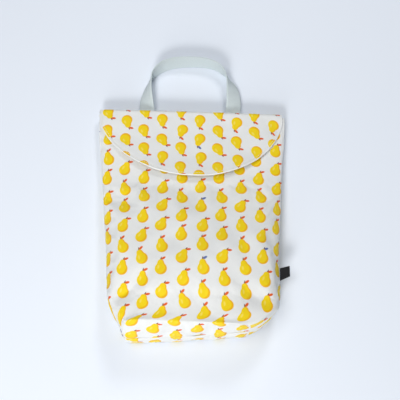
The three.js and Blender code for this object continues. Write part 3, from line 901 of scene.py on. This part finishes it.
def printed_cotton():
    """Off-white cotton printed all over with small pears in half-drop rows."""
    g = Graph("printed_cotton", 0.6, 0.03)
    u, v = g.flat()
    column_no = g.math("FLOOR", u / CELL_WIDE)
    drop = g.math("FLOORED_MODULO", column_no, 2.0) * (CELL_TALL / 2)
    low = v + drop
    row_no = g.math("FLOOR", low / CELL_TALL)
    x = u - (column_no + 0.5) * CELL_WIDE
    y = low - (row_no + 0.5) * CELL_TALL
    dice = g.node("TexWhiteNoise", noise_dimensions="2D")
    g.feed(dice.inputs["Vector"], g.vector(column_no, row_no))
    split = g.node("SeparateColor")
    g.tree.links.new(dice.outputs["Color"], split.inputs[0])
    first, second, third = (Wire(g, split.outputs[k]) for k in range(3))
    x = x - (first - 0.5) * MOTIF_STRAY
    y = y - (second - 0.5) * MOTIF_STRAY
    turn = (third - 0.5) * MOTIF_TURN
    cos, sin = g.math("COSINE", turn), g.math("SINE", turn)
    x, y = (x * cos + y * sin) / MOTIF, (y * cos - x * sin) / MOTIF
    body = g.circle(x, y, 0.0, -2.4, 6.3)
    neck = g.circle(x, y, 0.5, 4.2, 3.4)
    pear = g.math("SMOOTH_MIN", body, neck, 3.2)
    lit_body = g.circle(x, y, -1.5, -1.4, 5.9)
    lit_neck = g.circle(x, y, -0.2, 4.6, 2.9)
    shade = g.math("SMOOTH_MIN", lit_body, lit_neck, 3.0)
    inside = g.edge(pear)
    stem = g.edge(g.oval(x, y, 1.3, 8.6, 0.55, 1.7, -22))
    leaf = g.edge(g.oval(x, y, 3.7, 8.5, 2.7, 1.25, 24))
    shine = g.edge(g.oval(x, y, -2.4, -0.4, 1.0, 2.2, -14), 0.4)
    odd = g.math("LESS_THAN", g.math("FRACT", first * 7.31 + second * 3.17), 0.08)
    place = g.vector(u, v)
    mottle = g.noise(place, 0.05, 3.0)
    ground = g.mix(mottle, srgb(234, 236, 236), GROUND)
    colour = g.mix(leaf, ground, g.mix(odd, LEAF, ODD_LEAF))
    colour = g.mix(stem, colour, STEM)
    skin = g.mix(g.edge(shade, 0.5), PEAR_SHADE, PEAR)
    skin = g.mix(shine * 0.7, skin, PEAR_LIGHT)
    colour = g.mix(inside, colour, skin)
    warp = g.math("SINE", u * (2 * math.pi / THREAD_PITCH))
    weft = g.math("SINE", v * (2 * math.pi / THREAD_PITCH))
    weave = warp * weft
    fibre = g.noise(place, 0.9, 4.0)
    dull = weave * 0.025 + (fibre - 0.5) * 0.06
    colour = g.mix(g.math("ADD", dull, 0.06, clamp=True), colour, srgb(150, 148, 140), "MULTIPLY")
    g.feed(g.shader.inputs["Base Color"], colour)
    g.feed(g.shader.inputs["Roughness"], fibre * 0.1 + 0.47)
    slack = g.bump(g.noise(place, 0.07, 3.0), 0.0012, 0.45)
    g.feed(g.shader.inputs["Normal"], g.bump(weave + fibre, 0.00012, 0.6, slack))
    return g.material


def ribbed_webbing(name, colour, dark, pitch):
    """Plain woven band: ribs across it, fine threads along it."""
    g = Graph(name, 0.8, 0.1)
    u, v = g.flat()
    ribs = g.math("SINE", v * (2 * math.pi / pitch))
    ends = g.math("SINE", u * (2 * math.pi / (pitch * 0.8)))
    weave = ribs * ends
    fibre = g.noise(g.vector(u, v), 1.1, 3.0)
    shade = g.math("MULTIPLY_ADD", weave, 0.18, 0.3) + (fibre - 0.5) * 0.4
    g.feed(g.shader.inputs["Base Color"], g.mix(g.math("ADD", shade, 0.0, clamp=True), colour, dark))
    g.feed(g.shader.inputs["Roughness"], fibre * 0.15 + 0.7)
    g.feed(g.shader.inputs["Normal"], g.bump(weave, 0.0003, 0.6))
    return g.material


def plain(name, colour, roughness):
    g = Graph(name, roughness, 0.0)
    tone = g.noise(g.vector(*g.flat()), 2.0, 2.0)
    darker = tuple(0.9 * c for c in colour[:3]) + (1,)
    g.feed(g.shader.inputs["Base Color"], g.mix(tone, colour, darker))
    return g.material


cotton = printed_cotton()
webbing_cloth = ribbed_webbing("pale_webbing", srgb(222, 233, 236), srgb(190, 203, 206), 1.5)
tab_cloth = ribbed_webbing("black_tape", srgb(26, 28, 32), srgb(10, 10, 12), 0.9)
thread = plain("cotton_thread", srgb(236, 234, 222), 0.7)

front, front_cut = body_panel("front_cloth", True, cotton, 11)
back, back_cut = body_panel("back_cloth", False, cotton, 23)
flap, flap_cut, flap_points = flap_panel("flap_cloth", cotton, 31)
strap = webbing("carry_webbing", webbing_cloth)
tab = side_tab("folded_tab", tab_cloth)
hem_thread = hem_stitching("hem_stitching", flap_points, thread)

for piece in (front, back, flap, strap, tab, hem_thread):
    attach(piece, "root")
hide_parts("front_panel")
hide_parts("back_panel")
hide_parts("flap")
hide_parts("handle")
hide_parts("side_tab")

# The three cloths' flat sizes: named widths, lengths along the modelled middle, areas worked out from both
for piece, cut, held, under, sewn_on in (
    (front, front_cut, "stretched", [back], []),
    (back, back_cut, "laid", [], []),
    (flap, flap_cut, "folded", [front, back], [hem_thread]),
):
    size, area = (cut[0] / 1000, cut[1] / 1000), cut[2] / 1e6
    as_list(under)
    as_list(sewn_on)


def add_floor():
    low, high = -FLOOR_HALF, FLOOR_HALF
    corners = [(x, y, -FLOOR_DROP) for x, y in ((low, low), (high, low), (high, high), (low, high))]
    mesh = bpy.data.meshes.new("floor")
    mesh.from_pydata(corners, [], [(0, 1, 2, 3)])
    floor = bpy.data.objects.new("floor", mesh)
    scene.collection.objects.link(floor)
    look = Graph("pale_floor", 0.9, 0.0)
    look.shader.inputs["Base Color"].default_value = srgb(230, 237, 248)
    floor.data.materials.append(look.material)
    return floor


def add_world():
    world = bpy.data.worlds.new("studio")
    world.use_nodes = True
    background = world.node_tree.nodes["Background"]
    background.inputs[0].default_value = (0.93, 0.97, 1.0, 1)
    background.inputs[1].default_value = WORLD_LIGHT
    scene.world = world


def add_lamp(name, place, aim, size, power, colour):
    light = bpy.data.lights.new(name, "AREA")
    light.shape, light.size, light.energy, light.color = "DISK", size, power, colour
    lamp = bpy.data.objects.new(name, light)
    scene.collection.objects.link(lamp)
    lamp.location = place
    way = Vector(aim) - Vector(place)
    lamp.rotation_euler = way.to_track_quat("-Z", "Y").to_euler()


def add_camera():
    camera = bpy.data.cameras.new("camera")
    camera.lens, camera.sensor_width = CAMERA_LENS, CAMERA_SENSOR
    camera_object = bpy.data.objects.new("camera", camera)
    scene.collection.objects.link(camera_object)
    camera_object.location = CAMERA_PLACE
    camera_object.rotation_euler = (math.radians(CAMERA_TILT), 0, 0)
    scene.camera = camera_object


floor = add_floor()
add_world()
for lamp in LAMPS:
    add_lamp(*lamp)
add_camera()
scene.view_settings.view_transform = "Standard"
